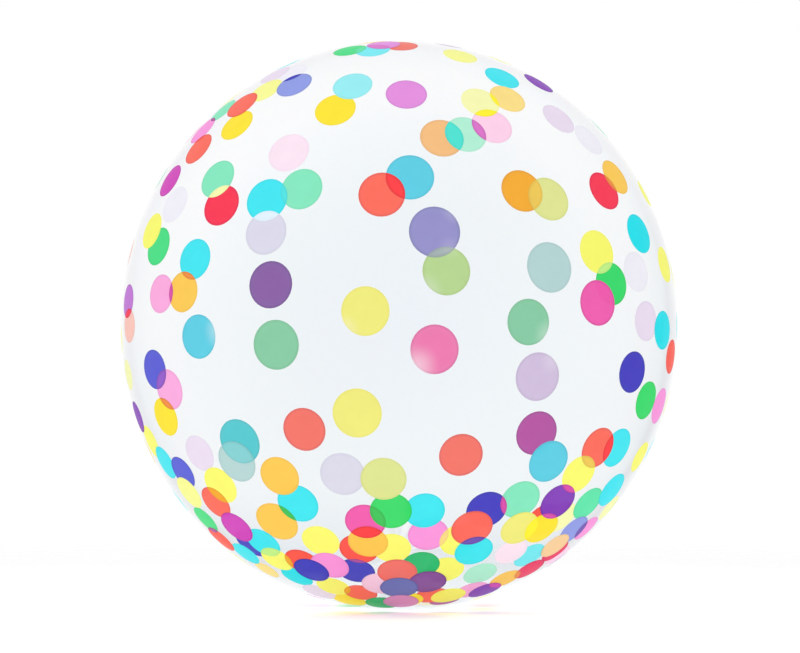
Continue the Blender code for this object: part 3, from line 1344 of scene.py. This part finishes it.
class BALLOON_OT_tail(Operator):
    """Makes the flat filling tail"""

    bl_idname = "balloon.tail"
    bl_label = "Filling tail"

    def execute(self, context):
        sizes = context.scene.balloon_film
        tail = add_object("tail", tail_mesh())
        tail.data.materials.append(tail_material("Tail film", TAIL_ROUGHNESS, sizes.tail_cover))
        finish_piece(tail, TAIL_SLOT, "valve_tail")
        return {"FINISHED"}


class BALLOON_OT_weld_ribs(Operator):
    """Presses the fine ribs across the tail's welded sides"""

    bl_idname = "balloon.weld_ribs"
    bl_label = "Tail weld ribs"

    def execute(self, context):
        sizes = context.scene.balloon_film
        ribs = grown(
            "tail_weld_ribs",
            weld_guides(),
            weld_rib_tree(),
            {
                "Rib spacing": sizes.rib_spacing,
                "Rib size": (
                    WELD_WIDTH * RIB_WIDTH,
                    sizes.rib_spacing * RIB_LENGTH,
                    WELD_THICKNESS + RIB_HEIGHT,
                ),
                "Film": tail_material("Tail welds", WELD_ROUGHNESS, min(2 * sizes.tail_cover, 1)),
            },
        )
        finish_piece(ribs, TAIL_SLOT)
        return {"FINISHED"}


# The printed dots

# An overlap's patch: its rows, the steps along each, how close two of its points may be, how many ink
# steps it lies above the upper dot, and how many coats hide what is behind it
LENS_ROWS = 12
LENS_STEPS = 4
LENS_TOLERANCE = 1e-7
OVERPRINT_RISE = 0.5
OVERPRINT_COATS = 3

DISC_RINGS = 2


def overlap_rows(first, second):
    """Rows of places across the lens where two dots overlap, from one tip to the other."""
    apart = second.place - first.place
    distance = apart.length
    along = apart / distance
    aside = Vector((-along.y, along.x))
    chord_at = (distance**2 + first.radius**2 - second.radius**2) / (2 * distance)
    half_chord = math.sqrt(max(first.radius**2 - chord_at**2, 0))
    lines = []
    for row in range(LENS_ROWS + 1):
        across = half_chord * math.sin(math.pi * (row / LENS_ROWS - 0.5))
        low = distance - math.sqrt(max(second.radius**2 - across**2, 0))
        high = math.sqrt(max(first.radius**2 - across**2, 0))
        line = [low + (high - low) * step / LENS_STEPS for step in range(LENS_STEPS + 1)]
        lines.append([first.place + along * out + aside * across for out in line])
    return lines


def flat_print(name, dots, overlaps):
    """One ink's flat print: a loose point for each dot, and a patch for each overlap."""
    bm = bmesh.new()
    layers = {key: bm.verts.layers.float.new(key) for key in ("half_angle", "wall", "layer", "across")}

    def point(place, **values):
        made = bm.verts.new((place.x, place.y, 0))
        for key, value in values.items():
            made[layers[key]] = value
        return made

    for dot in dots:
        point(dot.place, half_angle=dot.radius, wall=dot.wall, layer=dot.layer)
    for first, second in overlaps:
        rows = []
        layer = max(first.layer, second.layer) + OVERPRINT_RISE
        for line in overlap_rows(first, second):
            row = []
            for place in line:
                edge = max((place - dot.place).length / dot.radius for dot in (first, second))
                row.append(point(place, wall=first.wall, layer=layer, across=edge))
            rows.append(row)
        for row, following in zip(rows, rows[1:]):
            for step in range(len(row) - 1):
                bm.faces.new((row[step], row[step + 1], following[step + 1], following[step]))
    bmesh.ops.dissolve_degenerate(bm, dist=LENS_TOLERANCE, edges=bm.edges)
    return plain_mesh(bm, name)


class BALLOON_OT_inks(Operator):
    """Prints the confetti dots on the film, one piece for each ink"""

    bl_idname = "balloon.inks"
    bl_label = "Printed dots"

    def execute(self, context):
        sizes = context.scene.balloon_print
        colours = context.scene.balloon_inks
        dots = dots_on_film(sizes.dot_diameter)
        tree = printed_ink_tree()
        for ink in sorted({*DOTS, *OVERPRINTS}):
            overlaps = [
                overprint_between(dots, print_place(NEAR, right * MM, up * MM))
                for right, up, _, _ in OVERPRINTS.get(ink, ())
            ]
            name = f"ink_{ink}"
            coats = 1 if ink in DOTS else OVERPRINT_COATS
            finish = ink_material(f"Ink {ink}", getattr(colours, ink), sizes.ink_cover, coats)
            flat = flat_print(name, [dot for dot in dots if dot.ink == ink], overlaps)
            piece = grown(
                name,
                flat,
                tree,
                {
                    "Half size": (HALF_WIDTH, HALF_WIDTH, HALF_HEIGHT),
                    "Centre": CENTRE,
                    "Print gap": sizes.print_gap,
                    "Ink step": sizes.ink_step,
                    "Dot sides": sizes.dot_sides,
                    "Dot rings": DISC_RINGS,
                    "Ink": finish,
                },
            )
            finish_piece(piece, INK_SLOT)
        return {"FINISHED"}


# The stage

FLOOR_COLOUR = (0.96, 0.96, 0.96, 1)
FLOOR_ROUGHNESS = 0.9
FLOOR_FADES_FROM = 0.55
FLOOR_SIDES = 128

# Each lamp's place, size across and watts
LAMPS = {
    "Key lamp": ((-1.1, -1.3, 1.7), 2.0, 4),
    "Fill lamp": ((1.5, -1.7, 1.6), 1.4, 2),
}


def soft_lamp(name, place, size, watts):
    """A square soft light that looks at the balloon."""
    data = bpy.data.lights.new(name, "AREA")
    data.size = size
    data.energy = watts
    lamp = add_object(name, data)
    lamp.location = place
    lamp.rotation_euler = (CENTRE - Vector(place)).to_track_quat("-Z", "Y").to_euler()


def floor_material(radius, glow, glow_radius):
    """A pale matt floor that glows a little under the balloon, and fades out towards its edge."""
    made, nodes, shader = new_material("Floor")
    out = nodes.measure("LENGTH", nodes.object_place())
    nodes.feed_all(
        shader,
        {
            "Base Color": FLOOR_COLOUR,
            "Roughness": FLOOR_ROUGHNESS,
            "Emission Color": (1, 1, 1, 1),
            "Emission Strength": nodes.eased(out, 0.0, glow_radius, glow, 0.0),
        },
    )
    shown = nodes.eased(out, FLOOR_FADES_FROM * radius, radius, 1.0, 0.0)
    clear = nodes.first("ShaderNodeBsdfTransparent")
    mixed = nodes.first("ShaderNodeMixShader", {0: shown, 1: clear, 2: shader.outputs[0]})
    nodes.feed(made.node_tree.nodes["Material Output"].inputs["Surface"], mixed)
    return made


class BALLOON_OT_stage(Operator):
    """Makes the pale floor, the white surroundings, the soft lamps and the camera"""

    bl_idname = "balloon.stage"
    bl_label = "Stage"

    def execute(self, context):
        scene = context.scene
        stage = scene.balloon_stage
        bm = bmesh.new()
        bmesh.ops.create_circle(bm, cap_ends=True, segments=FLOOR_SIDES, radius=stage.floor_radius)
        mesh = plain_mesh(bm, "floor")
        mesh.materials.append(floor_material(stage.floor_radius, stage.floor_glow, stage.glow_radius))
        add_object("floor", mesh)

        world = bpy.data.worlds.new("White surroundings")
        world.use_nodes = True
        background = world.node_tree.nodes["Background"]
        background.inputs["Color"].default_value = (1, 1, 1, 1)
        background.inputs["Strength"].default_value = stage.sky_strength
        scene.world = world
        scene.view_settings.view_transform = "Standard"

        for name, (place, size, watts) in LAMPS.items():
            soft_lamp(name, place, size, watts * stage.light_share)

        camera_data = bpy.data.cameras.new("Camera")
        camera_data.lens = LENS_MM
        camera_data.sensor_width = SENSOR_MM
        camera = add_object("Camera", camera_data)
        right = (FRAME_WIDTH_PX / 2 - BALLOON_CENTRE_PX.x) * METRES_PER_PX
        up = (BALLOON_CENTRE_PX.y - FRAME_HEIGHT_PX / 2) * METRES_PER_PX
        camera.location = CENTRE + Vector((right, -EYE_DISTANCE, up))
        camera.rotation_euler = (math.pi / 2, 0, 0)
        scene.camera = camera
        return {"FINISHED"}


class BALLOON_PT_panel(Panel):
    """Lists the balloon's makers and their sizes"""

    bl_label = "Confetti-dot balloon"
    bl_idname = "BALLOON_PT_panel"
    bl_space_type = "VIEW_3D"
    bl_region_type = "UI"
    bl_category = "Balloon"

    def draw(self, context):
        for title, group, makers in PANEL_ROWS:
            box = self.layout.box()
            box.label(text=title)
            settings = getattr(context.scene, group)
            for key in settings.__annotations__:
                box.prop(settings, key)
            for maker in makers:
                box.operator(maker)


PANEL_ROWS = (
    ("Film", "balloon_film", ("balloon.film", "balloon.tail", "balloon.weld_ribs")),
    ("Dots", "balloon_print", ("balloon.inks",)),
    ("Inks", "balloon_inks", ()),
    ("Stage", "balloon_stage", ("balloon.stage",)),
)

GROUPS = {
    "balloon_film": BalloonFilm,
    "balloon_print": BalloonPrint,
    "balloon_inks": BalloonInks,
    "balloon_stage": BalloonStage,
}

CLASSES = (
    *GROUPS.values(),
    BALLOON_OT_film,
    BALLOON_OT_tail,
    BALLOON_OT_weld_ribs,
    BALLOON_OT_inks,
    BALLOON_OT_stage,
    BALLOON_PT_panel,
)


def register():
    """Makes the settings, the operators and the panel known."""
    for made in CLASSES:
        bpy.utils.register_class(made)
    for name, group in GROUPS.items():
        setattr(bpy.types.Scene, name, PointerProperty(type=group))


def unregister():
    """Takes them away again."""
    for name in GROUPS:
        delattr(bpy.types.Scene, name)
    for made in reversed(CLASSES):
        bpy.utils.unregister_class(made)


def clear_start_scene():
    """Removes what a new file holds, but for the solids."""
    kept = {*frame["nodes"].values(), *frame["bodies"].values()}
    for old in list(bpy.data.objects):
        if old not in kept:
            bpy.data.objects.remove(old, do_unlink=True)


def main():
    """Makes the whole balloon on its stage."""
    clear_start_scene()
    register()
    bpy.ops.balloon.film()
    bpy.ops.balloon.tail()
    bpy.ops.balloon.weld_ribs()
    bpy.ops.balloon.inks()
    bpy.ops.balloon.stage()


if __name__ == "__main__":
    main()
